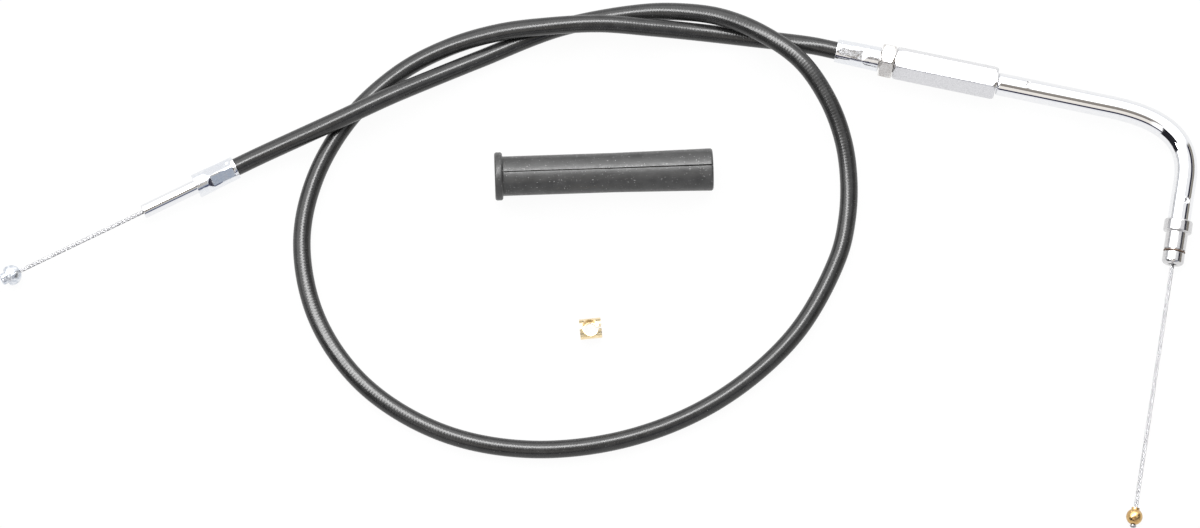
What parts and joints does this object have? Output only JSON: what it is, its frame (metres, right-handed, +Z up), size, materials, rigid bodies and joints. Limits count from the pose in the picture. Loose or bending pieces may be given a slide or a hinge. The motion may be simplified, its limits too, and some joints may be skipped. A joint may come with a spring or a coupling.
{
  "type": "throttle cable",
  "caption": "Motorcycle throttle cable with crimped ends, hex adjuster, swivelling chromed elbow, stranded wire with end balls, loose rubber boot and brass barrel.",
  "frame": {"origin": "on the surface that it lies on, under the middle of the box of its fittings", "axes": "+Z up; +X along its longest side, from the carburettor ball towards the elbow; +Y from the brass throttle ball towards the adjuster"},
  "size_m": [0.4698, 0.2098, 0.0189],
  "materials": {
    "sheath": "gloss black",
    "rubber": "matt dark grey",
    "chrome": "bright chrome plate",
    "zinc_plate": "zinc plate",
    "cast_zinc": "as cast, bright",
    "aluminium": "satin",
    "steel": "galvanised wire",
    "brass": "bright turned brass",
    "nylon": "natural nylon"
  },
  "bodies": {
    "cable_housing": {"cable_jacket": "sheath", "steel_conduit": "steel", "cable_liner": "nylon", "inner_wire": "steel", "carb_crimp_ferrule": "chrome", "carb_guide_tube": "chrome", "guide_tube_liner": "nylon", "adjuster_crimp_ferrule": "chrome", "threaded_stud": "zinc_plate"},
    "jam_nut": {"jam_nut": "zinc_plate"},
    "swivel_washer": {"swivel_washer": "brass"},
    "adjuster": {"adjuster_barrel": "aluminium"},
    "elbow": {"elbow_tube": "chrome", "elbow_liner": "nylon", "elbow_wire": "steel", "elbow_inlet_bush": "nylon", "elbow_outlet_bush": "nylon", "end_fitting": "chrome", "snap_ring": "brass"},
    "throttle_wire": {"throttle_wire": "steel", "throttle_ball": "brass", "throttle_wire_tip": "steel"},
    "carb_wire": {"carb_wire": "steel", "carb_ball": "cast_zinc"},
    "boot": {"adjuster_boot": "rubber"},
    "barrel": {"brass_barrel": "brass"}
  },
  "joints": [
    {"name": "jam_nut_turn", "type": "hinge", "parent": "cable_housing", "child": "jam_nut", "pos_m": [0.0941, 0.0926, 0.0072], "axis": [0.9781, -0.2079, 0], "range_deg": [-170, 0]},
    {"name": "adjuster_travel", "type": "slide", "parent": "cable_housing", "child": "swivel_washer", "axis": [0.9781, -0.2079, 0], "range_m": [0, 0.01164]},
    {"name": "adjuster_turn", "type": "hinge", "parent": "swivel_washer", "child": "adjuster", "pos_m": [0.0941, 0.0926, 0.0072], "axis": [0.9781, -0.2079, 0], "range_deg": [0, 3960]},
    {"name": "elbow_swivel", "type": "hinge", "parent": "swivel_washer", "child": "elbow", "pos_m": [0.0941, 0.0926, 0.0072], "axis": [-0.9781, 0.2079, 0], "continuous": true},
    {"name": "throttle_pull", "type": "slide", "parent": "elbow", "child": "throttle_wire", "axis": [-0.1667, -0.9857, -0.0241], "range_m": [0, 0.028], "deforming": ["elbow_wire"]},
    {"name": "carb_wire_travel", "type": "slide", "parent": "cable_housing", "child": "carb_wire", "axis": [0.8964, 0.443, 0.0105], "range_m": [0, 0.028], "deforming": ["inner_wire"]},
    {"name": "boot_lift", "type": "slide", "parent": "cable_housing", "child": "boot", "axis": [0, 0, 1], "range_m": [0, 0.05]},
    {"name": "barrel_lift", "type": "slide", "parent": "cable_housing", "child": "barrel", "axis": [0, 0, 1], "range_m": [0, 0.05]}
  ],
  "couplings": [
    {"joint": "adjuster_turn", "follows": "adjuster_travel", "rad_per_m": 5936.9},
    {"joint": "carb_wire_travel", "follows": "throttle_pull", "ratio": 1}
  ]
}
